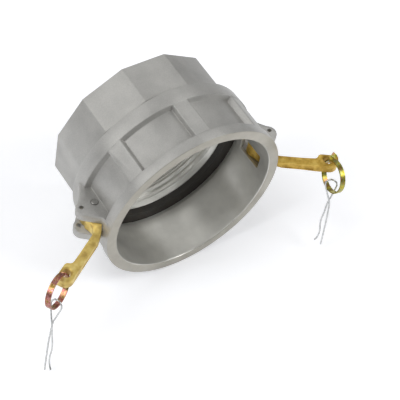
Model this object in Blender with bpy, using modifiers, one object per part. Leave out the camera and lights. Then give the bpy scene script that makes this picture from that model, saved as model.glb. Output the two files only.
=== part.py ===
"""A six inch cam and groove coupler, female socket to female pipe thread.

The coupler lies on its side on one flat-topped rib, with both cam arms swung open.
Lengths are metres and angles are degrees. The coupling's own frame has +Z out of the
socket's mouth, X through both ears and Y along the pivot pins. The empty named
coupling_frame lays that frame down on the ground plane.
"""

import math

import bmesh
import bpy
from mathutils import Matrix, Vector

OBJECT_NAME = "cam_and_groove_coupling"

# Turned and bored sizes of the body, measured back from the mouth's face
SOCKET_RADIUS = 0.0886
MOUTH_CHAMFER = 0.0010
COLLAR_WALL = 0.0113
COLLAR_LENGTH = 0.0115
POCKET_WALL = 0.0039
BAND_WALL = 0.0109
BAND_START = 0.0530
BAND_LENGTH = 0.0170
WRENCH_SIDES = 12
WRENCH_LENGTH = 0.0460
WRENCH_GAP = 0.0035
WRENCH_WALL = 0.0057
EDGE_ROUND = 0.0008

# Gasket seat and the ledge behind it
RELIEF_DEPTH = 0.0007
RELIEF_LENGTH = 0.0032
GASKET_START = 0.0584
GASKET_THICKNESS = 0.0073
GASKET_GRIP = 0.0016
GASKET_WIDTH = 0.0140
GASKET_EDGE = 0.0005
LEDGE_STEP = 0.0011
LEDGE_LENGTH = 0.0065

# Tapered pipe bore at the wrench end, at the roots of its thread
THREAD_RADIUS_AT_END = 0.0841
THREAD_TAPER = 1.0 / 32.0
THREAD_LENGTH = 0.0380
THREAD_RELIEF_DEPTH = 0.0006
THREAD_LEAD_IN = 0.0016

# Ribs between the collar and the band
RIB_COUNT = 8
RIB_TOP_WIDTH = 0.0170
RIB_DRAFT = 3.0
RIB_ROUND = 0.0012
RIB_INSET = 0.0007

# Ears that carry the cam arms
EAR_GAP = 0.0190
EAR_THICKNESS = 0.0100
EAR_REACH = 0.0117
EAR_LEAD = 0.0019
EAR_TIP_RADIUS = 0.0092
EAR_FRONT_STEP = 0.0030
EAR_RAMP_END = 0.0620
EAR_ROUND = 0.0012
CLIP_HOLE_REACH = 0.0145
CLIP_HOLE_RADIUS = 0.0022
SLOT_FRONT = 0.0191
SLOT_BACK = 0.0122

# Pivot pins, set in from the collar's rim and back from the mouth
PIN_INSET = 0.0039
PIN_DEPTH = 0.0346
PIN_RADIUS = 0.0036
PIN_PROUD = 0.0011
PIN_CHAMFER = 0.0005
CLEARANCE = 0.0003

# Cam arms, in their own frame: X along the handle, Y along the pin, Z to the front
ARM_OPEN_ANGLE = 32.0
ARM_LENGTH = 0.0868
CAM_RADIUS = 0.0090
CAM_OFFSET = 0.0032
CAM_LEAN = -50.0
CAM_SIDE_CLEARANCE = 0.0005
HANDLE_INNER = 0.0121
HANDLE_OUTER = 0.0212
HANDLE_WIDTH = 0.0090
BOSS_LENGTH = 0.0228
BOSS_INNER = 0.0060
BOSS_WIDTH = 0.0106
BOSS_CORNER = 0.0085
ARM_EDGE = 0.0010
PANEL_START = 0.0315
PANEL_GAP = 0.0030
PANEL_BORDER = 0.0014
PANEL_DEPTH = 0.0006
RING_HOLE_INSET = 0.0108
RING_HOLE_FRONT = 0.0122
RING_HOLE_RADIUS = 0.0045
RING_HOLE_SINK = 0.0015

# Split rings of flat strip, each with the way it leans at rest
RING_RADIUS = 0.01735
RING_STRIP_WIDTH = 0.0054
RING_STRIP_THICKNESS = 0.0014
RING_SPLIT_START = 24.0
RING_SPLIT_END = 35.0
RING_STATION_ANGLE = 9.0
RING_RIGHT_REACH = (-0.160, -0.112, 0.981)
RING_RIGHT_RISE = (0.085, 0.988, 0.127)
RING_RIGHT_TAIL = 0.0078
RING_RIGHT_SIT = 0.0009
RING_LEFT_REACH = (-0.805, -0.295, 0.514)
RING_LEFT_RISE = (-0.328, 0.944, 0.028)
RING_LEFT_TAIL = 0.0
RING_LEFT_SIT = 0.00075

# Spring clips of bent wire that hang on the rings
CLIP_WIRE_RADIUS = 0.00095
CLIP_LENGTH = 0.0855
CLIP_LOOP_RADIUS = 0.0062
CLIP_CROSSING = 0.0265
CLIP_LEAN = 0.0028
CLIP_LEG_GAP = 0.0044
CLIP_WAVE = 0.0009
CLIP_POINT_SPACING = 0.0035
CLIP_RIGHT_SEAT = -112.0
CLIP_RIGHT_RUN = (-0.139, -0.966, 0.218)
CLIP_RIGHT_FACE = (-0.650, 0.255, 0.715)
CLIP_RIGHT_DROP = 0.0132
CLIP_RIGHT_SHIFT = 0.0017
CLIP_LEFT_SEAT = -130.0
CLIP_LEFT_RUN = (-0.216, -0.926, 0.309)
CLIP_LEFT_FACE = (0.938, -0.285, -0.197)
CLIP_LEFT_DROP = 0.0086
CLIP_LEFT_SHIFT = 0.0007

# Fineness of the round forms
BODY_STEPS = 96
GASKET_STEPS = 64
HOLE_STEPS = 24
ARC_STEP = 12.0

# Sizes that follow from those above
COLLAR_RADIUS = SOCKET_RADIUS + COLLAR_WALL
POCKET_FLOOR_RADIUS = SOCKET_RADIUS + POCKET_WALL
BAND_RADIUS = SOCKET_RADIUS + BAND_WALL
BAND_END = BAND_START + BAND_LENGTH
WRENCH_START = BAND_END + WRENCH_GAP
WRENCH_END = WRENCH_START + WRENCH_LENGTH
WRENCH_FLAT_RADIUS = THREAD_RADIUS_AT_END + WRENCH_WALL
WRENCH_CORNER_RADIUS = WRENCH_FLAT_RADIUS / math.cos(math.pi / WRENCH_SIDES)
RELIEF_RADIUS = SOCKET_RADIUS + RELIEF_DEPTH
RELIEF_START = GASKET_START - RELIEF_LENGTH
GASKET_OUTER_RADIUS = SOCKET_RADIUS + GASKET_GRIP
GASKET_INNER_RADIUS = GASKET_OUTER_RADIUS - GASKET_WIDTH
LEDGE_RADIUS = GASKET_INNER_RADIUS + LEDGE_STEP
THREAD_RELIEF_RADIUS = THREAD_RADIUS_AT_END + THREAD_RELIEF_DEPTH
FOOT_RIB_HEIGHT = COLLAR_RADIUS
RIB_HEIGHT = BAND_RADIUS - RIB_INSET
PIN_X = COLLAR_RADIUS - PIN_INSET
CLIP_HOLE_X = PIN_X + CLIP_HOLE_REACH
EAR_TIP_X = PIN_X + EAR_REACH
EAR_TIP_DEPTH = PIN_DEPTH - EAR_LEAD
EAR_FRONT_DEPTH = COLLAR_LENGTH + EAR_FRONT_STEP
EAR_OUTER = EAR_GAP / 2 + EAR_THICKNESS
SLOT_START = PIN_DEPTH - SLOT_FRONT
SLOT_END = PIN_DEPTH + SLOT_BACK
AXIS_HEIGHT = FOOT_RIB_HEIGHT
BOSS_START = ARM_LENGTH - BOSS_LENGTH
PANEL_END = BOSS_START - PANEL_GAP
RING_HOLE_ALONG = ARM_LENGTH - RING_HOLE_INSET


def clear_scene():
    """Empties the scene of every object."""
    for item in list(bpy.data.objects):
        bpy.data.objects.remove(item, do_unlink=True)


def make_collection(name):
    """Links a new collection into the scene."""
    collection = bpy.data.collections.new(name)
    bpy.context.scene.collection.children.link(collection)
    return collection


def make_material(name, color, roughness, metallic):
    """Returns a Principled material of one colour."""
    material = bpy.data.materials.new(name)
    material.use_nodes = True
    shader = material.node_tree.nodes["Principled BSDF"]
    shader.inputs["Base Color"].default_value = (*color, 1.0)
    shader.inputs["Roughness"].default_value = roughness
    shader.inputs["Metallic"].default_value = metallic
    return material


def add_mesh_object(name, mesh, collection, parent=None, material=None):
    """Makes an object of a mesh, smooth on its round faces."""
    item = bpy.data.objects.new(name, mesh)
    collection.objects.link(item)
    item.parent = parent
    if material:
        mesh.materials.append(material)
    mesh.shade_smooth()
    mesh.set_sharp_from_angle(angle=math.radians(30))
    return item


def make_tool(item):
    """Marks an object as one that only shapes another."""
    item.hide_render = True
    item.display_type = "WIRE"
    return item


def turned(name, profile, steps, collection, parent=None, material=None):
    """Spins an outline of (radius, height) pairs about Z. It runs down its outer side."""
    mesh = bpy.data.meshes.new(name)
    points = [(radius, 0.0, height) for radius, height in profile]
    count = len(points)
    closed = profile[0][0] > 0
    edges = [(i, (i + 1) % count) for i in range(count if closed else count - 1)]
    mesh.from_pydata(points, edges, [])
    item = bpy.data.objects.new(name, mesh)
    collection.objects.link(item)
    item.parent = parent
    if material:
        mesh.materials.append(material)
    spin = item.modifiers.new("spin", "SCREW")
    spin.axis = "Z"
    spin.steps = steps
    spin.render_steps = steps
    spin.use_merge_vertices = True
    spin.merge_threshold = 0.00001
    spin.use_smooth_shade = True
    return item


def mesh_from_curve(curve, name):
    """Turns a curve into a closed mesh and removes the curve."""
    holder = bpy.data.objects.new(name, curve)
    bpy.context.scene.collection.objects.link(holder)
    bpy.context.view_layer.update()
    evaluated = holder.evaluated_get(bpy.context.evaluated_depsgraph_get())
    mesh = bpy.data.meshes.new_from_object(evaluated)
    bpy.data.objects.remove(holder, do_unlink=True)
    bpy.data.curves.remove(curve)
    mesh.name = name
    shape = bmesh.new()
    shape.from_mesh(mesh)
    bmesh.ops.remove_doubles(shape, verts=shape.verts, dist=0.000005)
    bmesh.ops.dissolve_limit(
        shape, angle_limit=math.radians(0.5), verts=shape.verts, edges=shape.edges
    )
    bmesh.ops.recalc_face_normals(shape, faces=shape.faces)
    shape.to_mesh(mesh)
    shape.free()
    return mesh


def plate_mesh(name, outline, thickness):
    """Returns a flat plate of an outline in XY, centred on Z."""
    curve = bpy.data.curves.new(name, "CURVE")
    curve.dimensions = "2D"
    curve.fill_mode = "BOTH"
    curve.extrude = thickness / 2
    spline = curve.splines.new("POLY")
    spline.points.add(len(outline) - 1)
    for point, place in zip(spline.points, outline):
        point.co = (place[0], place[1], 0.0, 1.0)
    spline.use_cyclic_u = True
    return mesh_from_curve(curve, name)


def arc(center, radius, start, end):
    """Lists points along an arc from one angle to another, both included."""
    count = max(2, round(abs(end - start) / ARC_STEP))
    points = []
    for i in range(count + 1):
        angle = math.radians(start + (end - start) * i / count)
        x = center[0] + radius * math.cos(angle)
        y = center[1] + radius * math.sin(angle)
        points.append((x, y))
    return points


def bend(start, control, end, count):
    """Lists points along a curve pulled towards one control point."""
    points = []
    for i in range(count + 1):
        t = i / count
        pair = []
        for a, b, c in zip(start, control, end):
            pair.append((1 - t) ** 2 * a + 2 * t * (1 - t) * b + t**2 * c)
        points.append(tuple(pair))
    return points


def cylinder_mesh(name, radius, length, steps=HOLE_STEPS):
    """Returns a capped cylinder along Z, centred."""
    mesh = bpy.data.meshes.new(name)
    shape = bmesh.new()
    bmesh.ops.create_cone(
        shape,
        cap_ends=True,
        segments=steps,
        radius1=radius,
        radius2=radius,
        depth=length,
    )
    shape.to_mesh(mesh)
    shape.free()
    return mesh


def box_mesh(name, low, high):
    """Returns a box between two corners."""
    mesh = bpy.data.meshes.new(name)
    shape = bmesh.new()
    bmesh.ops.create_cube(shape, size=1.0)
    size = [b - a for a, b in zip(low, high)]
    middle = [(a + b) / 2 for a, b in zip(low, high)]
    bmesh.ops.scale(shape, vec=size, verts=shape.verts)
    bmesh.ops.translate(shape, vec=middle, verts=shape.verts)
    shape.to_mesh(mesh)
    shape.free()
    return mesh


def add_round(item, width, segments=2, angle=30.0):
    """Rounds the sharp edges of an object."""
    soften = item.modifiers.new("round", "BEVEL")
    soften.width = width
    soften.segments = segments
    soften.limit_method = "ANGLE"
    soften.angle_limit = math.radians(angle)
    soften.harden_normals = False
    return soften


def add_boolean(item, operation, other):
    """Joins, cuts or trims an object with another object or a collection."""
    change = item.modifiers.new(operation.lower(), "BOOLEAN")
    change.operation = operation
    change.solver = "EXACT"
    if isinstance(other, bpy.types.Collection):
        change.operand_type = "COLLECTION"
        change.collection = other
    else:
        change.object = other
    return change


def along_pin(x, depth):
    """Places something at a pin's line: its Z turns to lie along the pin."""
    turn = Matrix.Rotation(math.radians(-90), 4, "X")
    return Matrix.Translation((x, 0.0, -depth)) @ turn


def body_blank_profile():
    """Outer form of the turned blank, with the collar, pocket floor and band."""
    r = EDGE_ROUND
    band_back = BAND_RADIUS - 0.0006
    floor = POCKET_FLOOR_RADIUS
    inside_wrench = WRENCH_FLAT_RADIUS - EDGE_ROUND * 2
    return [
        (0.0, 0.0),
        (COLLAR_RADIUS - r, 0.0),
        (COLLAR_RADIUS - 0.3 * r, -0.3 * r),
        (COLLAR_RADIUS, -r),
        (COLLAR_RADIUS, -COLLAR_LENGTH + r),
        (COLLAR_RADIUS - 0.3 * r, -COLLAR_LENGTH + 0.3 * r),
        (COLLAR_RADIUS - r, -COLLAR_LENGTH),
        (floor + 2 * r, -COLLAR_LENGTH - r),
        (floor + 0.6 * r, -COLLAR_LENGTH - 1.6 * r),
        (floor, -COLLAR_LENGTH - 3 * r),
        (floor, -BAND_START + 3 * r),
        (floor + 0.6 * r, -BAND_START + 1.6 * r),
        (floor + 2 * r, -BAND_START + r),
        (BAND_RADIUS - r, -BAND_START),
        (BAND_RADIUS - 0.3 * r, -BAND_START - 0.3 * r),
        (BAND_RADIUS, -BAND_START - r),
        (band_back, -BAND_END + 1.5 * r),
        (band_back - 0.5 * r, -BAND_END + 0.4 * r),
        (band_back - 1.5 * r, -BAND_END),
        (inside_wrench + 0.0045, -BAND_END - 0.0012),
        (inside_wrench + 0.0025, -BAND_END - 0.0026),
        (inside_wrench, -WRENCH_START - 0.0010),
        (inside_wrench, -WRENCH_END + 0.0020),
        (0.0, -WRENCH_END + 0.0020),
    ]


def bore_profile():
    """Inner form of the body as a solid: socket, gasket groove, ledge and thread."""
    groove_front = GASKET_START - CLEARANCE
    groove_back = GASKET_START + GASKET_THICKNESS + CLEARANCE
    groove_radius = GASKET_OUTER_RADIUS + 0.0004
    thread_start = WRENCH_END - THREAD_LENGTH
    thread_inner = THREAD_RADIUS_AT_END - THREAD_LENGTH * THREAD_TAPER
    ledge_end = groove_back + LEDGE_LENGTH
    over = 0.0020
    return [
        (0.0, over),
        (SOCKET_RADIUS + MOUTH_CHAMFER + over, over),
        (SOCKET_RADIUS, -MOUTH_CHAMFER),
        (SOCKET_RADIUS, -RELIEF_START),
        (RELIEF_RADIUS, -RELIEF_START - 0.0005),
        (RELIEF_RADIUS, -groove_front),
        (groove_radius, -groove_front),
        (groove_radius, -groove_back),
        (LEDGE_RADIUS + 0.0006, -groove_back),
        (LEDGE_RADIUS, -groove_back - 0.0006),
        (LEDGE_RADIUS, -ledge_end),
        (LEDGE_RADIUS + 0.0012, -ledge_end - 0.0012),
        (THREAD_RELIEF_RADIUS - 0.0020, -thread_start + 0.0045),
        (THREAD_RELIEF_RADIUS, -thread_start + 0.0030),
        (THREAD_RELIEF_RADIUS, -thread_start),
        (thread_inner, -thread_start - 0.0015),
        (THREAD_RADIUS_AT_END, -WRENCH_END + THREAD_LEAD_IN),
        (THREAD_RADIUS_AT_END + THREAD_LEAD_IN + over, -WRENCH_END - over),
        (0.0, -WRENCH_END - over),
    ]


def rib_mesh(height, back):
    """One drafted rib along the axis, up to a height and back to a depth."""
    root = SOCKET_RADIUS + 0.0018
    rise = height - root
    half_top = RIB_TOP_WIDTH / 2
    half_root = half_top + rise * math.tan(math.radians(RIB_DRAFT))
    outline = [
        (root, -half_root),
        (height, -half_top),
        (height, half_top),
        (root, half_root),
    ]
    front = COLLAR_LENGTH / 2
    mesh = plate_mesh("rib", outline, back - front)
    mesh.transform(Matrix.Translation((0.0, 0.0, -(front + back) / 2)))
    return mesh


def ear_outline():
    """Side form of one ear plate, as (outward, toward the mouth) pairs."""
    root = SOCKET_RADIUS + 0.0014
    tip = (EAR_TIP_X, -EAR_TIP_DEPTH)
    front_angle = 62.0
    back_angle = -62.0
    front = arc(tip, EAR_TIP_RADIUS, front_angle, back_angle)
    ramp_start = front[-1]
    ramp_end = (BAND_RADIUS - 0.0012, -EAR_RAMP_END)
    control = (BAND_RADIUS + 0.0046, -EAR_TIP_DEPTH - EAR_TIP_RADIUS - 0.0072)
    ramp = bend(ramp_start, control, ramp_end, 7)
    nose = [(root, -COLLAR_LENGTH / 2), (COLLAR_RADIUS - 0.0008, -COLLAR_LENGTH / 2)]
    nose.append((COLLAR_RADIUS - 0.0008, -EAR_FRONT_DEPTH))
    return nose + front + ramp[1:] + [(root, -EAR_RAMP_END)]


def build_body(collection, additions, cutters, frame, material):
    """The cast body: blank, wrench end, ribs and ears, then every cut."""
    body = turned("coupler_body", body_blank_profile(), BODY_STEPS, collection, frame, material)

    length = WRENCH_END - WRENCH_START
    wrench = cylinder_mesh("wrench_end", WRENCH_CORNER_RADIUS, length, WRENCH_SIDES)
    half_side = math.pi / WRENCH_SIDES
    wrench.transform(Matrix.Rotation(half_side, 4, "Z"))
    wrench.transform(Matrix.Translation((0.0, 0.0, -(WRENCH_START + WRENCH_END) / 2)))
    wrench_item = make_tool(add_mesh_object("wrench_end", wrench, additions, frame))
    add_round(wrench_item, EDGE_ROUND, segments=1, angle=20.0)

    rib = rib_mesh(RIB_HEIGHT, BAND_START + BAND_LENGTH / 2)
    foot_rib = rib_mesh(FOOT_RIB_HEIGHT, BAND_END - 0.0012)
    foot = RIB_COUNT * 3 // 4
    step = 360.0 / RIB_COUNT
    for i in range(RIB_COUNT):
        if i % (RIB_COUNT // 2) == 0:
            continue
        mesh = foot_rib if i == foot else rib
        item = make_tool(add_mesh_object(f"rib_{i}", mesh, additions, frame))
        item.rotation_euler = (0.0, 0.0, math.radians(step * i))
        add_round(item, RIB_ROUND)

    ear = plate_mesh("ear", ear_outline(), EAR_THICKNESS)
    ear.transform(Matrix.Rotation(math.radians(90), 4, "X"))
    middle = (EAR_GAP + EAR_THICKNESS) / 2
    for side, turn in (("right", 0.0), ("left", math.pi)):
        for place, offset in (("upper", middle), ("lower", -middle)):
            item = make_tool(add_mesh_object(f"ear_{side}_{place}", ear, additions, frame))
            spot = Matrix.Rotation(turn, 4, "Z") @ Matrix.Translation((0.0, offset, 0.0))
            item.matrix_local = spot
            add_round(item, EAR_ROUND)

    bore = turned("bore", bore_profile(), BODY_STEPS, cutters, frame)
    make_tool(bore)
    reach = EAR_TIP_X + EAR_TIP_RADIUS * 2
    slot_low = (SOCKET_RADIUS - 0.0100, -EAR_GAP / 2, -SLOT_END)
    slot_high = (reach, EAR_GAP / 2, -SLOT_START)
    slot = box_mesh("slot", slot_low, slot_high)
    hole_length = 2 * EAR_OUTER + 0.0200
    pin_hole = cylinder_mesh("pin_hole", PIN_RADIUS + CLEARANCE, hole_length)
    clip_hole = cylinder_mesh("clip_hole", CLIP_HOLE_RADIUS, hole_length, HOLE_STEPS // 2)
    for side, turn in (("right", 0.0), ("left", math.pi)):
        spin = Matrix.Rotation(turn, 4, "Z")
        item = make_tool(add_mesh_object(f"slot_{side}", slot, cutters, frame))
        item.matrix_local = spin
        add_round(item, EAR_ROUND, segments=2)
        item = make_tool(add_mesh_object(f"pin_hole_{side}", pin_hole, cutters, frame))
        item.matrix_local = spin @ along_pin(PIN_X, PIN_DEPTH)
        item = make_tool(add_mesh_object(f"clip_hole_{side}", clip_hole, cutters, frame))
        item.matrix_local = spin @ along_pin(CLIP_HOLE_X, PIN_DEPTH)

    add_boolean(body, "UNION", additions)
    add_boolean(body, "DIFFERENCE", cutters)
    return body


def build_gasket(collection, frame, material):
    """The flat rubber ring in the groove behind the socket."""
    e = GASKET_EDGE
    front = -GASKET_START
    back = -GASKET_START - GASKET_THICKNESS
    profile = [
        (GASKET_OUTER_RADIUS, front - e),
        (GASKET_OUTER_RADIUS, back + e),
        (GASKET_OUTER_RADIUS - e, back),
        (GASKET_INNER_RADIUS + e, back),
        (GASKET_INNER_RADIUS, back + e),
        (GASKET_INNER_RADIUS, front - e),
        (GASKET_INNER_RADIUS + e, front),
        (GASKET_OUTER_RADIUS - e, front),
    ]
    return turned("gasket", profile, GASKET_STEPS, collection, frame, material)


def build_pin(side, turn, collection, frame, material):
    """A straight pivot pin through both plates of an ear."""
    mesh = cylinder_mesh(f"pivot_pin_{side}", PIN_RADIUS, 2 * (EAR_OUTER + PIN_PROUD))
    pin = add_mesh_object(f"pivot_pin_{side}", mesh, collection, frame, material)
    pin.matrix_local = Matrix.Rotation(turn, 4, "Z") @ along_pin(PIN_X, PIN_DEPTH)
    add_round(pin, PIN_CHAMFER, segments=1)
    return pin


def arm_side_outline():
    """Side form of a cam arm, as (along, front) pairs about the pin."""
    lean = math.radians(CAM_LEAN)
    cam = (CAM_OFFSET * math.cos(lean), CAM_OFFSET * math.sin(lean))
    head = arc(cam, CAM_RADIUS, 118.0, 356.0)
    outer = HANDLE_OUTER
    inner = HANDLE_INNER
    corner = BOSS_CORNER
    small = 0.0022
    end_outer = (ARM_LENGTH - corner, outer - corner)
    end_inner = (ARM_LENGTH - small, BOSS_INNER + small)
    root = [
        (CAM_RADIUS + 0.0053, CAM_RADIUS - 0.0098),
        (CAM_RADIUS + 0.0068, 0.0040),
        (CAM_RADIUS + 0.0088, inner - 0.0034),
        (CAM_RADIUS + 0.0135, inner),
    ]
    boss_step = bend((BOSS_START - 0.0030, inner), (BOSS_START, inner),
                     (BOSS_START + 0.0012, BOSS_INNER + 0.0036), 4)
    boss_back = bend(boss_step[-1], (BOSS_START + 0.0020, BOSS_INNER),
                     (BOSS_START + 0.0060, BOSS_INNER), 4)
    boss_end = arc(end_inner, small, -90.0, 0.0) + arc(end_outer, corner, 0.0, 90.0)
    front = [
        (outer + 0.0070, outer - 0.0002),
        (0.0180, outer - 0.0029),
        (0.0062, CAM_RADIUS + 0.0036),
        (0.0020, CAM_RADIUS + 0.0002),
    ]
    return head + root + boss_step + boss_back[1:] + boss_end + front


def arm_plan_outline():
    """Plan form of a cam arm, as (along, across) pairs: wide cam, slim handle, boss."""
    head = EAR_GAP / 2 - CAM_SIDE_CLEARANCE
    slim = HANDLE_WIDTH / 2
    boss = BOSS_WIDTH / 2
    neck_start = CAM_RADIUS + 0.0035
    neck_end = CAM_RADIUS + 0.0170
    upper = [(-0.0200, head)]
    upper += bend((neck_start, head), (neck_start + 0.0060, slim), (neck_end, slim), 6)
    upper += [(BOSS_START - 0.0160, slim), (BOSS_START, boss), (ARM_LENGTH + 0.0100, boss)]
    lower = [(x, -y) for x, y in reversed(upper)]
    return upper + lower


def build_arm(side, collection, cutters, pivot, material):
    """A cast cam arm whose origin is on its pin, with the ring's hole in its end."""
    name = f"cam_arm_{side}"
    mesh = plate_mesh(name, arm_side_outline(), EAR_GAP * 2)
    mesh.transform(Matrix.Rotation(math.radians(90), 4, "X"))
    arm = add_mesh_object(name, mesh, collection, pivot, material)

    plan = plate_mesh(f"{name}_plan", arm_plan_outline(), HANDLE_OUTER * 4)
    plan_item = make_tool(add_mesh_object(f"{name}_plan", plan, cutters, pivot))
    add_boolean(arm, "INTERSECT", plan_item)
    add_round(arm, ARM_EDGE)

    pin_hole = cylinder_mesh(f"{name}_bore", PIN_RADIUS + CLEARANCE, EAR_GAP * 2)
    bore = make_tool(add_mesh_object(f"{name}_bore", pin_hole, cutters, pivot))
    bore.matrix_local = along_pin(0.0, 0.0)
    add_boolean(arm, "DIFFERENCE", bore)

    half = BOSS_WIDTH / 2
    sink = RING_HOLE_SINK
    over = 0.0010
    hole_profile = [
        (0.0, half + over),
        (RING_HOLE_RADIUS + sink + over, half + over),
        (RING_HOLE_RADIUS, half - sink),
        (RING_HOLE_RADIUS, sink - half),
        (RING_HOLE_RADIUS + sink + over, -half - over),
        (0.0, -half - over),
    ]
    hole = make_tool(turned(f"{name}_ring_hole", hole_profile, HOLE_STEPS, cutters, pivot))
    hole.matrix_local = along_pin(RING_HOLE_ALONG, -RING_HOLE_FRONT)
    add_boolean(arm, "DIFFERENCE", hole)

    half_panel = HANDLE_WIDTH / 2 - PANEL_BORDER
    low = (PANEL_START, -half_panel, HANDLE_OUTER - PANEL_DEPTH)
    high = (PANEL_END, half_panel, HANDLE_OUTER + PANEL_DEPTH)
    panel = box_mesh(f"{name}_panel", low, high)
    panel_item = make_tool(add_mesh_object(f"{name}_panel", panel, cutters, pivot))
    add_boolean(arm, "DIFFERENCE", panel_item)
    return arm


def strip_mesh(name, stations, width, thickness):
    """Lofts a flat strip through stations of (center, outward, across) vectors."""
    mesh = bpy.data.meshes.new(name)
    shape = bmesh.new()
    rows = []
    for center, outward, across in stations:
        row = []
        for out_sign, across_sign in ((1, 1), (1, -1), (-1, -1), (-1, 1)):
            shift = outward * (out_sign * thickness / 2) + across * (across_sign * width / 2)
            row.append(shape.verts.new(center + shift))
        rows.append(row)
    for before, after in zip(rows, rows[1:]):
        for i in range(4):
            j = (i + 1) % 4
            shape.faces.new((before[i], before[j], after[j], after[i]))
    shape.faces.new(rows[0])
    shape.faces.new(reversed(rows[-1]))
    bmesh.ops.recalc_face_normals(shape, faces=shape.faces)
    shape.to_mesh(mesh)
    shape.free()
    return mesh


def build_ring(side, tail, collection, parent, material):
    """A split ring in its own frame: X reaches out from the hole, Y rises through it."""
    name = f"finger_ring_{side}"
    across = Vector((0.0, 0.0, 1.0))
    sweep = 360.0 - (RING_SPLIT_END - RING_SPLIT_START)
    count = round(sweep / RING_STATION_ANGLE)
    stations = []
    for i in range(count + 1):
        angle = math.radians(RING_SPLIT_START - sweep * i / count)
        outward = Vector((-math.cos(angle), math.sin(angle), 0.0))
        center = Vector((RING_RADIUS, 0.0, 0.0)) + outward * RING_RADIUS
        stations.append((center, outward, across))
    if tail > 0:
        center, outward, _ = stations[-1]
        run = (outward * 0.66 - across * 0.75).normalized()
        side_way = (across + outward * 1.14).normalized()
        flat_way = run.cross(side_way).normalized()
        stations.append((center + run * tail * 0.35, flat_way, side_way))
        stations.append((center + run * tail, flat_way, side_way))
    mesh = strip_mesh(name, stations, RING_STRIP_WIDTH, RING_STRIP_THICKNESS)
    ring = add_mesh_object(name, mesh, collection, parent, material)
    return ring


def clip_route():
    """Middle line of the wire, as (across, down, through) points from the loop's top."""
    loop = CLIP_LOOP_RADIUS
    lift = CLIP_WIRE_RADIUS + CLEARANCE / 2
    gap = CLIP_LEG_GAP / 2
    wave = CLIP_WAVE
    cross = CLIP_CROSSING
    end = CLIP_LENGTH
    span = end - cross
    points = [
        (gap + 0.0006, end, 0.0),
        (gap + 0.0004, cross + span * 0.70, 0.0),
        (gap, cross + span * 0.40, 0.25 * lift),
        (gap * 0.55, cross + span * 0.12, lift),
        (0.0, cross, lift),
        (-gap * 0.75, cross - 0.0045, lift),
    ]
    for angle in (200.0, 175.0, 145.0, 115.0, 90.0, 65.0, 35.0, 5.0, -20.0):
        turn = math.radians(angle)
        place = (angle - 90.0) / 110.0
        points.append((loop * math.cos(turn), loop - loop * math.sin(turn), lift * place))
    points += [
        (gap * 0.75, cross - 0.0045, -lift),
        (0.0, cross, -lift),
        (-gap * 0.55, cross + span * 0.12, -lift),
        (-gap + wave * 0.3, cross + span * 0.28, -0.25 * lift),
        (-gap - wave, cross + span * 0.42, 0.0),
        (-gap - wave, cross + span * 0.55, 0.0),
        (-gap + wave * 0.6, cross + span * 0.70, 0.0),
        (-gap - wave * 0.4, cross + span * 0.84, 0.0),
        (-gap - wave * 2.8, end - 0.0045, 0.0),
    ]
    route = []
    for x, down, through in points:
        lean = CLIP_LEAN * max(0.0, 1.0 - down / cross)
        route.append(Vector((x - lean, down, through)))
    return route


def smooth_route(points, spacing):
    """Resamples a route along a smooth curve through its points."""
    ends = [2 * points[0] - points[1]] + points + [2 * points[-1] - points[-2]]
    fine = []
    for a, b, c, d in zip(ends, ends[1:], ends[2:], ends[3:]):
        for i in range(12):
            t = i / 12
            curve = 2 * b + (c - a) * t
            curve += (2 * a - 5 * b + 4 * c - d) * t**2
            curve += (3 * b - a - 3 * c + d) * t**3
            fine.append(curve / 2)
    fine.append(points[-1])
    travelled = [0.0]
    for before, after in zip(fine, fine[1:]):
        travelled.append(travelled[-1] + (after - before).length)
    count = max(2, round(travelled[-1] / spacing))
    route = []
    place = 0
    for i in range(count + 1):
        target = travelled[-1] * i / count
        while place < len(fine) - 2 and travelled[place + 1] < target:
            place += 1
        share = (target - travelled[place]) / (travelled[place + 1] - travelled[place])
        route.append(fine[place].lerp(fine[place + 1], min(1.0, share)))
    return route


def build_clip(side, seat_down, shift, collection, parent, material):
    """A spring clip of round wire whose origin is where it hangs on its ring."""
    name = f"safety_clip_{side}"
    curve = bpy.data.curves.new(name, "CURVE")
    curve.dimensions = "3D"
    curve.bevel_depth = CLIP_WIRE_RADIUS
    curve.bevel_resolution = 2
    curve.use_fill_caps = True
    route = smooth_route(clip_route(), CLIP_POINT_SPACING)
    spline = curve.splines.new("POLY")
    spline.points.add(len(route) - 1)
    for point, place in zip(spline.points, route):
        point.co = (place.x + shift, seat_down - place.y, place.z, 1.0)
    mesh = mesh_from_curve(curve, name)
    return add_mesh_object(name, mesh, collection, parent, material)


def frame_matrix(place, first, second):
    """Matrix with X along one vector and Y as near as it can be to another."""
    x = Vector(first).normalized()
    z = x.cross(Vector(second)).normalized()
    y = z.cross(x)
    turn = Matrix((x, y, z)).transposed().to_4x4()
    return Matrix.Translation(place) @ turn


def add_empty(name, collection, parent, matrix):
    """An empty that places what hangs on it."""
    empty = bpy.data.objects.new(name, None)
    empty.empty_display_size = 0.01
    collection.objects.link(empty)
    empty.parent = parent
    empty.matrix_local = matrix
    return empty


def arm_matrix(turn):
    """Places an arm's frame on its pin at the open angle."""
    swing = Matrix.Rotation(math.radians(-ARM_OPEN_ANGLE), 4, "Y")
    spot = Matrix.Translation((PIN_X, 0.0, -PIN_DEPTH))
    return Matrix.Rotation(turn, 4, "Z") @ spot @ swing


def lay_down(frame, parts):
    """Centres the laid-down coupling over the origin, with its lowest face on the ground."""
    bpy.context.view_layer.update()
    graph = bpy.context.evaluated_depsgraph_get()
    low = Vector((1.0, 1.0, 1.0))
    high = -low
    for item in parts.objects:
        if item.type != "MESH":
            continue
        evaluated = item.evaluated_get(graph)
        for vertex in evaluated.data.vertices:
            place = evaluated.matrix_world @ vertex.co
            low = Vector(map(min, low, place))
            high = Vector(map(max, high, place))
    frame.location.x -= (low.x + high.x) / 2
    frame.location.y -= (low.y + high.y) / 2
    bpy.context.view_layer.update()


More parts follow.
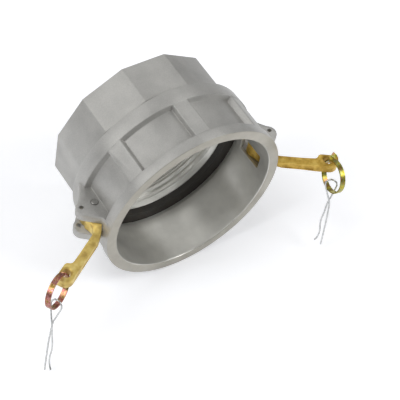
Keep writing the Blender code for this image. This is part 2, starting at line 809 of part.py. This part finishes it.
def main():
    """Builds every piece of the coupler in its own frame and lays it down."""
    clear_scene()
    parts = make_collection(OBJECT_NAME)
    additions = make_collection("body_additions")
    body_cutters = make_collection("body_cutters")
    arm_cutters = make_collection("arm_cutters")

    aluminium = make_material("cast_aluminium", (0.46, 0.46, 0.45), 0.45, 1.0)
    brass = make_material("cast_brass", (0.55, 0.36, 0.09), 0.38, 1.0)
    steel = make_material("steel_wire", (0.55, 0.57, 0.60), 0.25, 1.0)
    zinc = make_material("zinc_plated_strip", (0.45, 0.40, 0.30), 0.30, 1.0)
    rubber = make_material("nitrile_rubber", (0.012, 0.012, 0.012), 0.60, 0.0)

    lie = Matrix.Translation((0.0, 0.0, AXIS_HEIGHT)) @ Matrix.Rotation(math.pi / 2, 4, "X")
    frame = add_empty("coupling_frame", parts, None, lie)

    build_body(parts, additions, body_cutters, frame, aluminium)
    build_gasket(parts, frame, rubber)

    ring_ways = {
        "right": (RING_RIGHT_REACH, RING_RIGHT_RISE, RING_RIGHT_TAIL, RING_RIGHT_SIT),
        "left": (RING_LEFT_REACH, RING_LEFT_RISE, RING_LEFT_TAIL, RING_LEFT_SIT),
    }
    clip_ways = {
        "right": (CLIP_RIGHT_SEAT, CLIP_RIGHT_RUN, CLIP_RIGHT_FACE, CLIP_RIGHT_DROP, CLIP_RIGHT_SHIFT),
        "left": (CLIP_LEFT_SEAT, CLIP_LEFT_RUN, CLIP_LEFT_FACE, CLIP_LEFT_DROP, CLIP_LEFT_SHIFT),
    }
    for side, turn in (("right", 0.0), ("left", math.pi)):
        reach, rise, tail, sit = ring_ways[side]
        build_pin(side, turn, parts, frame, steel)
        pivot = add_empty(f"arm_pivot_{side}", parts, frame, arm_matrix(turn))
        build_arm(side, parts, arm_cutters, pivot, brass)

        hole = arm_matrix(turn) @ Vector((RING_HOLE_ALONG - sit, 0.0, RING_HOLE_FRONT))
        ring_frame = frame_matrix(hole, reach, rise)
        ring_seat = add_empty(f"ring_seat_{side}", parts, frame, ring_frame)
        build_ring(side, tail, parts, ring_seat, zinc)

        seat, run, face, drop, shift = clip_ways[side]
        angle = math.radians(seat)
        on_ring = Vector((RING_RADIUS * (1 - math.cos(angle)), RING_RADIUS * math.sin(angle), 0.0))
        up = -Vector(run)
        across = up.cross(Vector(face))
        clip_frame = frame_matrix(ring_frame @ on_ring, across, up)
        clip_seat = add_empty(f"clip_seat_{side}", parts, frame, clip_frame)
        build_clip(side, drop, shift, parts, clip_seat, steel)

    lay_down(frame, parts)


main()
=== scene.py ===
"""Looks for a six inch cam and groove coupler that lies on its side with both arms open.

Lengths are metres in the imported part's frame: +Z up, the socket's mouth towards -Y and the
ears along X. Coupling coordinates, where they are used, have x through the ears, y up and z
out of the mouth.
"""

from __future__ import annotations

import logging
import math
from dataclasses import dataclass
from enum import Enum

import bpy
from mathutils import Matrix, Vector

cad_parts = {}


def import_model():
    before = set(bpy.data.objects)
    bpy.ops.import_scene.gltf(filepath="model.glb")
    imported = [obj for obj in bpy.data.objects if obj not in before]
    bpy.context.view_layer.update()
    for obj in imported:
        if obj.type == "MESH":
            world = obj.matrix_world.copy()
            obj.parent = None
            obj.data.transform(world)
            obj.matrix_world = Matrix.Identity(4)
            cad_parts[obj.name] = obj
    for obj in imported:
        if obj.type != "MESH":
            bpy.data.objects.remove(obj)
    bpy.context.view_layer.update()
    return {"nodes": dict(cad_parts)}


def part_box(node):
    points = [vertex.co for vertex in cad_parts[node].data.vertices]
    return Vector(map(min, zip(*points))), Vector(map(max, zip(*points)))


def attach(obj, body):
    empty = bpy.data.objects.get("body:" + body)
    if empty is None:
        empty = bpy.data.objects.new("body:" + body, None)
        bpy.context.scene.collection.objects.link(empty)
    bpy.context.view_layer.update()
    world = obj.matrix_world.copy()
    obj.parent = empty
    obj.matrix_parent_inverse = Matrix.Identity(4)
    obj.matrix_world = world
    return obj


LOG = logging.getLogger("coupler")
MM = 0.001
# A noise's values bunch round its middle, so a ramp between these uses its whole range.
NOISE_LOW = 0.30
NOISE_HIGH = 0.70
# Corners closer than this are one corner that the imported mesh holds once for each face.
SAME_CORNER = 0.002 * MM
# The facets of one round face meet at less than this, in degrees.
ROUND_ANGLE = 32.0

Socket = bpy.types.NodeSocket
Tree = bpy.types.NodeTree


class Side(Enum):
    """The two ears, as seen from the mouth."""

    LEFT = "left"
    RIGHT = "right"


def linear(hex_color: str) -> tuple[float, float, float, float]:
    """Turns an sRGB hex colour into a linear one.

    Args:
        hex_color: The colour as #rrggbb.

    Returns:
        Red, green, blue and an alpha of 1.
    """
    values = []
    for i in (1, 3, 5):
        part = int(hex_color[i : i + 2], 16) / 255
        # The sRGB curve is straight in its darkest part and a power above it.
        values.append(part / 12.92 if part <= 0.04045 else ((part + 0.055) / 1.055) ** 2.4)
    return (values[0], values[1], values[2], 1.0)


def add_node(
    tree: Tree,
    kind: str,
    settings: dict[str, object] | None = None,
    values: dict[str | int, object] | None = None,
    links: dict[str | int, Socket] | None = None,
    stops: tuple[tuple[float, str], ...] = (),
) -> bpy.types.Node:
    """Adds one node with its settings, socket values, incoming links and colour stops.

    Sockets that share a name are given by number. A mix node takes its share at 0 and mixes
    numbers from 2 and 3, or colours from 6 and 7 to its output 2.

    Args:
        tree: The node tree.
        kind: The node's type name.
        settings: Attributes of the node.
        values: Input sockets, by name or number, and their values.
        links: Input sockets, by name or number, and the outputs that feed them.
        stops: Places and sRGB hex colours along the node's ramp, where it has one.

    Returns:
        The new node.
    """
    node = tree.nodes.new(kind)
    for name, value in (settings or {}).items():
        setattr(node, name, value)
    for name, value in (values or {}).items():
        node.inputs[name].default_value = value
    for name, socket in (links or {}).items():
        tree.links.new(socket, node.inputs[name])
    for i, (place, color) in enumerate(stops):
        ramp = node.color_ramp.elements
        stop = ramp[i] if i < len(ramp) else ramp.new(place)
        stop.position = place
        stop.color = linear(color)
    return node


@dataclass(frozen=True)
class CouplerFrame:
    """Where the coupler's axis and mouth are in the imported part."""

    axis_x: float
    axis_z: float
    mouth_y: float

    @classmethod
    def from_nodes(cls) -> CouplerFrame:
        """Reads the axis from the gasket's box and the mouth from the body's.

        Returns:
            The coupler's frame.
        """
        low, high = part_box("gasket")
        return cls(
            axis_x=(low[0] + high[0]) / 2,
            axis_z=(low[2] + high[2]) / 2,
            mouth_y=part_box("coupler_body")[0][1],
        )

    def place(self, x: float, y: float, z: float) -> Vector:
        """Turns coupling coordinates into the part's: z out of the mouth, y up."""
        return Vector((self.axis_x + x, self.mouth_y - z, self.axis_z + y))


@dataclass(frozen=True)
class Finish:
    """What every finish shares: a name, and how its shader is started."""

    name: str

    def start(self) -> tuple[bpy.types.Material, Tree, bpy.types.Node, Socket]:
        """Makes the material.

        Returns:
            The material, its tree, its shader and the piece's own coordinates.
        """
        material = bpy.data.materials.new(self.name)
        material.use_nodes = True
        tree = material.node_tree
        where = add_node(tree, "ShaderNodeTexCoord").outputs["Object"]
        return material, tree, tree.nodes["Principled BSDF"], where


@dataclass(frozen=True)
class CastAluminium(Finish):
    """Sand cast aluminium, shot blasted outside and turned where it seals.

    The blasted skin is a faintly warm mid grey with a fine grain and broad soft patches. The
    mouth's face, the socket and the thread are turned, which gives a smoother, lighter metal
    whose fine rings stretch each reflection into a band along the axis. The face is handled
    and stood on, so it is duller and warmer than the bore.
    """

    at: CouplerFrame
    skin_dark: str = "#a8a7a4"
    skin_light: str = "#c4c3bf"
    turned_dark: str = "#cecdc7"
    turned_light: str = "#e2e1db"
    face_dark: str = "#a39f94"
    face_light: str = "#b8b4a9"
    # Oxide on both surfaces scatters light, so they mirror less than bare metal does.
    skin_metallic: float = 0.65
    turned_metallic: float = 0.70
    skin_roughness: float = 0.50
    turned_roughness: float = 0.30
    patch_roughness: float = 0.08
    # A quarter turn lays the stretched reflections across the rings.
    ring_stretch: float = 0.75
    ring_turn: float = 0.25
    patch_mm: float = 22.0
    patch_detail: float = 4.0
    # The real shot marks are about 0.3 mm and the tool's feed about 0.2 mm. Both are drawn
    # coarser, so that they show.
    grain_mm: float = 0.9
    grain_detail: float = 3.0
    grain_share: float = 0.45
    feed_mm: float = 0.9
    # The rings' relief is this share of the shot marks'.
    ring_relief: float = 0.2
    relief_mm: float = 0.12
    relief_strength: float = 0.35
    # Turned metal ends at the first radius before the step behind the gasket, and at the
    # second one behind it. The face is all that lies this near to the mouth's plane.
    bore_mm: float = 90.9
    thread_mm: float = 86.5
    step_mm: float = 67.0
    face_mm: float = 0.35
    # A sand casting has no crisp edge, and the turned ones are broken.
    edge_mm: float = 1.4
    edge_samples: int = 8

    def build(self) -> bpy.types.Material:
        """Builds the surfaces and mixes them by where the tool has cut.

        Returns:
            The material.
        """
        material, tree, shader, where = self.start()
        turned, face, run = self.where_turned(tree, where)
        patches, grain = (
            add_node(
                tree, "ShaderNodeTexNoise", values={"Scale": 1 / (size * MM), "Detail": detail},
                links={"Vector": where},
            ).outputs["Fac"]
            for size, detail in (
                (self.patch_mm, self.patch_detail), (self.grain_mm, self.grain_detail)
            )
        )
        self.paint(tree, shader, (turned, face), (patches, grain))
        self.polish(tree, shader, turned, patches)
        self.texture(tree, shader, turned, grain, run)
        return material

    def where_turned(self, tree: Tree, where: Socket) -> tuple[Socket, Socket, Socket]:
        """Finds the turned surfaces from the distance to the axis and to the mouth.

        Args:
            tree: The material's tree.
            where: The piece's own coordinates.

        Returns:
            Masks that are 1 on turned metal and on the mouth's face, and the distance that
            the tool has run.
        """
        split = add_node(tree, "ShaderNodeSeparateXYZ", links={0: where}).outputs
        across, rise, depth = (
            add_node(
                tree, "ShaderNodeMath", {"operation": "SUBTRACT"}, {1: start}, {0: split[way]}
            ).outputs[0]
            for way, start in (
                ("X", self.at.axis_x), ("Z", self.at.axis_z), ("Y", self.at.mouth_y)
            )
        )
        flat = add_node(tree, "ShaderNodeCombineXYZ", links={"X": across, "Z": rise})
        radius = add_node(
            tree, "ShaderNodeVectorMath", {"operation": "LENGTH"}, links={0: flat.outputs[0]}
        ).outputs["Value"]
        behind_step = add_node(
            tree, "ShaderNodeMath", {"operation": "GREATER_THAN"}, {1: self.step_mm * MM},
            {0: depth},
        )
        limit = add_node(
            tree, "ShaderNodeMapRange",
            values={"To Min": self.bore_mm * MM, "To Max": self.thread_mm * MM},
            links={0: behind_step.outputs[0]},
        )
        in_bore = add_node(
            tree, "ShaderNodeMath", {"operation": "LESS_THAN"},
            links={0: radius, 1: limit.outputs[0]},
        )
        on_face = add_node(
            tree, "ShaderNodeMath", {"operation": "LESS_THAN"}, {1: self.face_mm * MM},
            {0: depth},
        )
        turned = add_node(
            tree, "ShaderNodeMath", {"operation": "MAXIMUM"},
            links={0: in_bore.outputs[0], 1: on_face.outputs[0]},
        )
        run = add_node(tree, "ShaderNodeMath", {"operation": "ADD"}, links={0: radius, 1: depth})
        return turned.outputs[0], on_face.outputs[0], run.outputs[0]

    def paint(
        self,
        tree: Tree,
        shader: bpy.types.Node,
        masks: tuple[Socket, Socket],
        noises: tuple[Socket, Socket],
    ) -> None:
        """Gives the skin its patchy grey, the turned metal a lighter one and the face a duller.

        Args:
            tree: The material's tree.
            shader: The surface shader.
            masks: Where the metal is turned, and where it is the mouth's face.
            noises: The broad noise and the fine one.
        """
        turned, face = masks
        patches, grain = noises
        blotches = add_node(
            tree, "ShaderNodeMix", {"data_type": "FLOAT"}, {0: self.grain_share},
            {2: patches, 3: grain},
        ).outputs[0]
        skin, bright, worn = (
            add_node(
                tree, "ShaderNodeValToRGB", links={0: noise},
                stops=((NOISE_LOW, dark), (NOISE_HIGH, light)),
            ).outputs["Color"]
            for noise, dark, light in (
                (blotches, self.skin_dark, self.skin_light),
                (patches, self.turned_dark, self.turned_light),
                (patches, self.face_dark, self.face_light),
            )
        )
        color = skin
        for mask, layer in ((turned, bright), (face, worn)):
            color = add_node(
                tree, "ShaderNodeMix", {"data_type": "RGBA"}, links={0: mask, 6: color, 7: layer}
            ).outputs[2]
        tree.links.new(color, shader.inputs["Base Color"])

    def polish(
        self, tree: Tree, shader: bpy.types.Node, turned: Socket, patches: Socket
    ) -> None:
        """Sets how matt each surface is, and stretches reflections across the rings.

        Args:
            tree: The material's tree.
            shader: The surface shader.
            turned: The mask of turned metal.
            patches: The broad noise.
        """
        metallic, rough = (
            add_node(
                tree, "ShaderNodeMapRange", values={"To Min": skin, "To Max": metal},
                links={0: turned},
            ).outputs[0]
            for skin, metal in (
                (self.skin_metallic, self.turned_metallic),
                (self.skin_roughness, self.turned_roughness),
            )
        )
        tree.links.new(metallic, shader.inputs["Metallic"])
        mottled = add_node(
            tree, "ShaderNodeMath", {"operation": "MULTIPLY_ADD"}, {1: self.patch_roughness},
            {0: patches, 2: rough},
        )
        tree.links.new(mottled.outputs[0], shader.inputs["Roughness"])
        round_axis = add_node(
            tree, "ShaderNodeTangent", {"direction_type": "RADIAL", "axis": "Y"}
        )
        tree.links.new(round_axis.outputs[0], shader.inputs["Tangent"])
        shader.inputs["Anisotropic"].default_value = self.ring_stretch
        shader.inputs["Anisotropic Rotation"].default_value = self.ring_turn

    def texture(
        self, tree: Tree, shader: bpy.types.Node, turned: Socket, grain: Socket, run: Socket
    ) -> None:
        """Gives the skin its shot marks and the turned metal its rings.

        Args:
            tree: The material's tree.
            shader: The surface shader.
            turned: The mask of turned metal.
            grain: The fine noise.
            run: The distance that the tool has run.
        """
        turns = add_node(
            tree, "ShaderNodeMath", {"operation": "MULTIPLY"},
            {1: 2 * math.pi / (self.feed_mm * MM)}, {0: run},
        )
        rings = add_node(
            tree, "ShaderNodeMath", {"operation": "SINE"}, links={0: turns.outputs[0]}
        )
        low_rings = add_node(
            tree, "ShaderNodeMath", {"operation": "MULTIPLY"}, {1: self.ring_relief},
            {0: rings.outputs[0]},
        )
        relief = add_node(
            tree, "ShaderNodeMix", {"data_type": "FLOAT"},
            links={0: turned, 2: grain, 3: low_rings.outputs[0]},
        )
        edge = add_node(
            tree, "ShaderNodeBevel", {"samples": self.edge_samples}, {"Radius": self.edge_mm * MM}
        )
        bump = add_node(
            tree, "ShaderNodeBump",
            values={"Strength": self.relief_strength, "Distance": self.relief_mm * MM},
            links={"Height": relief.outputs[0], "Normal": edge.outputs[0]},
        )
        tree.links.new(bump.outputs[0], shader.inputs["Normal"])


@dataclass(frozen=True)
class PatchedMetal(Finish):
    """A metal skin whose colour drifts between tones, with a fine grain.

    The real grain of these skins is 0.3 mm or finer. It is drawn coarser where it has to be
    to show.
    """

    tones: tuple[str, ...]
    patch_mm: float
    grain_mm: float
    roughness: float
    relief_mm: float
    relief_strength: float
    metallic: float = 1.0
    patch_detail: float = 2.0
    grain_detail: float = 3.0
    # The tones share this stretch of the broad noise's values.
    drift_start: float = 0.32
    drift_width: float = 0.36
    # How far the grain takes the roughness down and up.
    smoother: float = 0.05
    rougher: float = 0.08

    def build(self) -> bpy.types.Material:
        """Builds the drifting colour, the roughness and the grain.

        Returns:
            The material.
        """
        material, tree, shader, where = self.start()
        patches, grain = (
            add_node(
                tree, "ShaderNodeTexNoise", values={"Scale": 1 / (size * MM), "Detail": detail},
                links={"Vector": where},
            ).outputs["Fac"]
            for size, detail in (
                (self.patch_mm, self.patch_detail), (self.grain_mm, self.grain_detail)
            )
        )
        spread = len(self.tones) - 1
        stops = tuple(
            (self.drift_start + self.drift_width * i / spread, tone)
            for i, tone in enumerate(self.tones)
        )
        color = add_node(tree, "ShaderNodeValToRGB", links={0: patches}, stops=stops)
        tree.links.new(color.outputs["Color"], shader.inputs["Base Color"])
        rough = add_node(
            tree, "ShaderNodeMapRange",
            values={
                "To Min": self.roughness - self.smoother,
                "To Max": self.roughness + self.rougher,
            },
            links={0: grain},
        )
        tree.links.new(rough.outputs[0], shader.inputs["Roughness"])
        bump = add_node(
            tree, "ShaderNodeBump",
            values={"Strength": self.relief_strength, "Distance": self.relief_mm * MM},
            links={"Height": grain},
        )
        tree.links.new(bump.outputs[0], shader.inputs["Normal"])
        shader.inputs["Metallic"].default_value = self.metallic
        return material


def cast_brass_painted_light_and_shade(side: Side) -> PatchedMetal:
    """Makes cast and tumbled brass: satin golden yellow with browner patches.

    Its skin is oxidised, so it mirrors less than bare metal does.

    Args:
        side: Which arm. The left one is painted paler, as painted light, and the right one
            deeper, as painted shade.

    Returns:
        The finish.
    """
    # One brass in two tones: the left arm's tones are lighter as painted light, the right arm's
    # darker as painted shade.
    tones = {
        Side.LEFT: ("#bea057", "#dabf6c", "#e9d388"),
        Side.RIGHT: ("#ab8833", "#cda84a", "#e0c062"),
    }[side]
    return PatchedMetal(
        f"cast_brass_painted_light_and_shade_{side.value}", tones=tones, patch_mm=7.0, grain_mm=0.8,
        roughness=0.45, relief_mm=0.10, relief_strength=0.5, metallic=0.6,
    )


def chromated_zinc(side: Side) -> PatchedMetal:
    """Makes zinc plate under a yellow chromate film, whose thickness gives it several hues.

    Args:
        side: Which ring. The left one drifts through pinks, and the right one greens.

    Returns:
        The finish.
    """
    tones = {
        Side.LEFT: ("#8f6f2c", "#c08a86", "#94564f", "#b58f6a", "#75612c"),
        Side.RIGHT: ("#7f7b34", "#bfae42", "#949b60", "#a08534", "#b98a6c"),
    }[side]
    return PatchedMetal(
        f"chromated_zinc_{side.value}", tones=tones, patch_mm=5.0, grain_mm=0.4,
        roughness=0.30, relief_mm=0.01, relief_strength=0.2,
    )


def spring_wire() -> PatchedMetal:
    """Makes drawn spring wire with bright zinc plate: near white, smooth.

    Returns:
        The finish.
    """
    return PatchedMetal(
        "spring_wire", tones=("#b9bab9", "#d6d7d6"), patch_mm=3.0, grain_mm=0.3,
        roughness=0.26, relief_mm=0.008, relief_strength=0.2,
    )


def drawn_steel() -> PatchedMetal:
    """Makes drawn bar steel with a plain skin and sawn ends: mid grey, dull.

    Returns:
        The finish.
    """
    return PatchedMetal(
        "drawn_steel", tones=("#9a9995", "#b5b4b0"), patch_mm=4.0, grain_mm=0.3,
        roughness=0.38, relief_mm=0.02, relief_strength=0.3,
    )


@dataclass(frozen=True)
class NitrileRubber(Finish):
    """Moulded nitrile rubber: near black and faintly brown, matt, with a dusty bloom."""

    base: str = "#1b1712"
    bloom: str = "#2d2820"
    bloom_mm: float = 9.0
    bloom_detail: float = 5.0
    smoothest: float = 0.5
    roughest: float = 0.7
    relief_mm: float = 0.05
    relief_strength: float = 0.2

    def build(self) -> bpy.types.Material:
        """Builds the dark colour and its uneven bloom.

        Returns:
            The material.
        """
        material, tree, shader, where = self.start()
        cloud = add_node(
            tree, "ShaderNodeTexNoise",
            values={"Scale": 1 / (self.bloom_mm * MM), "Detail": self.bloom_detail},
            links={"Vector": where},
        ).outputs["Fac"]
        color = add_node(
            tree, "ShaderNodeValToRGB", links={0: cloud},
            stops=((NOISE_LOW, self.base), (NOISE_HIGH, self.bloom)),
        )
        tree.links.new(color.outputs["Color"], shader.inputs["Base Color"])
        rough = add_node(
            tree, "ShaderNodeMapRange",
            values={"To Min": self.smoothest, "To Max": self.roughest}, links={0: cloud},
        )
        tree.links.new(rough.outputs[0], shader.inputs["Roughness"])
        bump = add_node(
            tree, "ShaderNodeBump",
            values={"Strength": self.relief_strength, "Distance": self.relief_mm * MM},
            links={"Height": cloud},
        )
        tree.links.new(bump.outputs[0], shader.inputs["Normal"])
        return material


def dress(
    node: bpy.types.Object, material: bpy.types.Material, angle: float = ROUND_ANGLE
) -> bpy.types.Object:
    """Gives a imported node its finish, smooth on round faces and crisp at edges.

    Args:
        node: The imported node's object.
        material: The finish.
        angle: Edges sharper than this, in degrees, stay crisp.

    Returns:
        The same object.
    """
    node.data.materials.clear()
    node.data.materials.append(material)
    node.data.shade_smooth()
    weld = node.modifiers.new("join_faces", "WELD")
    weld.merge_threshold = SAME_CORNER
    split = node.modifiers.new("crisp_edges", "EDGE_SPLIT")
    split.split_angle = math.radians(angle)
    split.use_edge_sharp = False
    return node


@dataclass
class CouplerBody:
    """The casting, with the helix of its pipe thread.

    The thread is the tapered one for six inch pipe: eight turns to the inch, on a cone of 1
    in 16 across the bore.
    """

    at: CouplerFrame
    nodes: dict[str, bpy.types.Object]
    # From the mouth to the wrench end's face, where the root radius is taken.
    end: float = 119.5 * MM
    root_radius: float = 84.1 * MM
    thread_length: float = 38.0 * MM
    pitch: float = 3.175 * MM
    taper: float = 1 / 32
    # A full ridge is 2.5 mm high. This one is lower, to match how faintly it shows.
    height: float = 1.9 * MM
    # The foot sinks into the wall. Half the foot and half the crest are shares of the pitch.
    sink: float = 0.15 * MM
    foot_share: float = 0.46
    crest_share: float = 0.07
    # The ridge starts this far behind the end's face and leaves these turns free in all. At
    # its two ends it rises and falls over part of a turn, from a small share of its height.
    lead_in: float = 1.8 * MM
    free_turns: float = 2.2
    rising_turns: float = 0.5
    falling_turns: float = 0.8
    least_share: float = 0.02
    steps: int = 72
    crisp_angle: float = 25.0

    def build(self) -> list[bpy.types.Object]:
        """Dresses the casting and adds the thread.

        Returns:
            Both pieces.
        """
        metal = CastAluminium("cast_aluminium", at=self.at).build()
        return [dress(self.nodes["coupler_body"], metal), self.thread(metal)]

    def thread(self, material: bpy.types.Material) -> bpy.types.Object:
        """Winds the ridge of a right-handed tapered thread round the pipe bore.

        Args:
            material: The finish of the turned metal.

        Returns:
            The thread.
        """
        turns = (self.thread_length - self.free_turns * self.pitch) / self.pitch
        count = int(turns * self.steps)
        sections = [self.section(i, count) for i in range(count + 1)]
        points = [corner for section in sections for corner in section]
        sides = len(sections[0])
        faces = []
        for i in range(count):
            for k in range(sides):
                a = sides * i + k
                b = sides * i + (k + 1) % sides
                faces.append((a, b, b + sides, a + sides))
        faces.append((0, *range(sides - 1, 0, -1)))
        faces.append(tuple(sides * count + k for k in range(sides)))
        mesh = bpy.data.meshes.new("pipe_thread")
        mesh.from_pydata(points, [], faces)
        mesh.materials.append(material)
        mesh.shade_smooth()
        mesh.set_sharp_from_angle(angle=math.radians(self.crisp_angle))
        thread = bpy.data.objects.new("pipe_thread", mesh)
        bpy.context.scene.collection.objects.link(thread)
        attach(thread, "body")
        return thread

    def section(self, i: int, count: int) -> list[Vector]:
        """Places the ridge's four corners at one step of the helix.

        Args:
            i: The step.
            count: The number of steps.

        Returns:
            The corners, from the outer root over the crest to the inner root.
        """
        half_foot = self.pitch * self.foot_share
        half_crest = self.pitch * self.crest_share
        angle = 2 * math.pi * i / self.steps
        depth = self.end - self.lead_in - half_foot - self.pitch * i / self.steps
        root = self.root_radius - (self.end - depth) * self.taper
        rise = i / (self.steps * self.rising_turns)
        fall = (count - i) / (self.steps * self.falling_turns)
        crest = root - self.height * max(self.least_share, min(1.0, rise, fall))
        corners_here = (
            (root + self.sink, depth + half_foot),
            (crest, depth + half_crest),
            (crest, depth - half_crest),
            (root + self.sink, depth - half_foot),
        )
        return [
            self.at.place(radius * math.cos(angle), radius * math.sin(angle), -inward)
            for radius, inward in corners_here
        ]


@dataclass
class SealAndPins:
    """The gasket in its groove and the two pivot pins."""

    nodes: dict[str, bpy.types.Object]

    def build(self) -> list[bpy.types.Object]:
        """Dresses the gasket and the pins.

        Returns:
            The three pieces.
        """
        rubber = NitrileRubber("nitrile_rubber").build()
        steel = drawn_steel().build()
        pins = [dress(self.nodes[f"pivot_pin_{side.value}"], steel) for side in Side]
        return [dress(self.nodes["gasket"], rubber), *pins]


@dataclass
class CamArms:
    """The two brass arms."""

    nodes: dict[str, bpy.types.Object]

    def build(self) -> list[bpy.types.Object]:
        """Dresses both arms in cast brass.

        Returns:
            Both arms.
        """
        return [
            dress(self.nodes[f"cam_arm_{side.value}"], cast_brass_painted_light_and_shade(side).build()) for side in Side
        ]


@dataclass
class RingsAndClips:
    """The split rings and the wire clips that hang on them."""

    nodes: dict[str, bpy.types.Object]
    # The thin wire has few facets round it, which meet at more than other round faces' do.
    wire_angle: float = 60.0

    def build(self) -> list[bpy.types.Object]:
        """Dresses each ring with its own drift of hues, and both clips.

        Returns:
            The four pieces.
        """
        wire = spring_wire().build()
        pieces = []
        for side in Side:
            plate = chromated_zinc(side).build()
            pieces.append(dress(self.nodes[f"finger_ring_{side.value}"], plate))
            clip = self.nodes[f"safety_clip_{side.value}"]
            pieces.append(dress(clip, wire, angle=self.wire_angle))
        return pieces


@dataclass(frozen=True)
class Lamp:
    """One square soft lamp, placed by its angles round and above the coupler.

    The azimuth is 0 in front of the mouth and grows towards the right ear.
    """

    name: str
    azimuth: float
    elevation: float
    watts: float
    size: float


@dataclass
class Studio:
    """A plain white floor, soft lamps and the camera at the photograph's angle.

    The camera's place and its directions are in coupling coordinates.
    """

    at: CouplerFrame
    camera_mm: tuple[float, float, float] = (-542.65, 1008.88, 568.62)
    right: tuple[float, float, float] = (0.831056, 0.150354, 0.535481)
    down: tuple[float, float, float] = (-0.354125, -0.599362, 0.717886)
    lens_mm: float = 116.6
    sensor_mm: float = 36.0
    floor_size: float = 16.0
    floor_color: str = "#fbfcff"
    floor_glow: float = 0.26
    world_strength: float = 0.32
    target: tuple[float, float, float] = (0.0, 0.0, 0.08)
    lamp_distance: float = 3.2
    lamps: tuple[Lamp, ...] = (
        Lamp("left", azimuth=263.0, elevation=38.0, watts=28.0, size=1.4),
        Lamp("left_top", azimuth=262.0, elevation=66.0, watts=18.0, size=1.2),
        Lamp("back", azimuth=180.0, elevation=40.0, watts=9.0, size=1.6),
        Lamp("right_back", azimuth=135.0, elevation=40.0, watts=6.0, size=1.6),
        Lamp("right_front", azimuth=44.0, elevation=46.0, watts=27.0, size=1.4),
    )

    def build(self) -> None:
        """Makes the floor, the lamps, the world and the camera."""
        self.floor()
        self.hang_lamps()
        self.world()
        self.camera()

    def floor(self) -> None:
        """Lays a floor of matt white paper that takes the shadow.

        It glows a little for the camera, and for what metal reflects, so that it comes out
        white with the lamps at the level that suits the metal.
        """
        bpy.ops.mesh.primitive_plane_add(size=self.floor_size, location=(0.0, 0.0, 0.0))
        floor = bpy.context.object
        floor.name = "floor"
        material = bpy.data.materials.new("matt_white_paper")
        material.use_nodes = True
        tree = material.node_tree
        shader = tree.nodes["Principled BSDF"]
        shader.inputs["Base Color"].default_value = linear(self.floor_color)
        shader.inputs["Roughness"].default_value = 1.0
        shader.inputs["Specular IOR Level"].default_value = 0.0
        shader.inputs["Emission Color"].default_value = linear(self.floor_color)
        glow = add_node(
            tree, "ShaderNodeMath", {"operation": "MULTIPLY"}, {1: self.floor_glow},
            {0: self.seen(tree)},
        )
        tree.links.new(glow.outputs[0], shader.inputs["Emission Strength"])
        floor.data.materials.append(material)

    @staticmethod
    def seen(tree: Tree) -> Socket:
        """Gives 1 for what the camera sees, directly, in metal or through glass.

        Args:
            tree: The material's tree.

        Returns:
            The socket that is 1 on those rays and 0 on the others.
        """
        path = add_node(tree, "ShaderNodeLightPath").outputs
        either = path["Is Camera Ray"]
        for kind in ("Is Glossy Ray", "Is Transmission Ray"):
            either = add_node(
                tree, "ShaderNodeMath", {"operation": "MAXIMUM"}, links={0: either, 1: path[kind]}
            ).outputs[0]
        return either

    def hang_lamps(self) -> None:
        """Hangs the soft lamps so that they face the coupler."""
        target = Vector(self.target)
        for lamp in self.lamps:
            azimuth = math.radians(lamp.azimuth)
            elevation = math.radians(lamp.elevation)
            way = Vector((
                math.sin(azimuth) * math.cos(elevation),
                -math.cos(azimuth) * math.cos(elevation),
                math.sin(elevation),
            ))
            data = bpy.data.lights.new(lamp.name, "AREA")
            data.shape = "SQUARE"
            data.size = lamp.size
            data.energy = lamp.watts
            item = bpy.data.objects.new(lamp.name, data)
            item.location = target + way * self.lamp_distance
            item.rotation_euler = (-way).to_track_quat("-Z", "Y").to_euler()
            bpy.context.scene.collection.objects.link(item)

    def world(self) -> None:
        """Fills the room with weak, even light."""
        world = bpy.data.worlds.new("studio")
        world.use_nodes = True
        bpy.context.scene.world = world
        background = world.node_tree.nodes["Background"]
        background.inputs["Color"].default_value = (1.0, 1.0, 1.0, 1.0)
        background.inputs["Strength"].default_value = self.world_strength

    def camera(self) -> None:
        """Sets the camera where the photograph was taken from."""
        x, y, z = (value * MM for value in self.camera_mm)
        right = self.laid(self.right)
        up = -self.laid(self.down)
        back = right.cross(up)
        turn = Matrix((right, up, back)).transposed().to_4x4()
        data = bpy.data.cameras.new("camera")
        data.lens = self.lens_mm
        data.sensor_width = self.sensor_mm
        camera = bpy.data.objects.new("camera", data)
        camera.matrix_world = Matrix.Translation(self.at.place(x, y, z)) @ turn
        bpy.context.scene.collection.objects.link(camera)
        bpy.context.scene.camera = camera

    @staticmethod
    def laid(way: tuple[float, float, float]) -> Vector:
        """Turns a coupling direction into the part's frame."""
        return Vector((way[0], -way[2], way[1]))


def main() -> None:
    """Loads the frame, builds each sub-assembly in order and lights the scene."""
    logging.basicConfig(level=logging.INFO)
    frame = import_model()
    nodes = frame["nodes"]
    at = CouplerFrame.from_nodes()
    for assembly in (
        CouplerBody(at, nodes),
        SealAndPins(nodes),
        CamArms(nodes),
        RingsAndClips(nodes),
    ):
        for piece in assembly.build():
            LOG.info("%s: %s", type(assembly).__name__, piece.name)
    Studio(at).build()
    bpy.context.scene.view_settings.view_transform = "Standard"


if __name__ == "__main__":
    main()
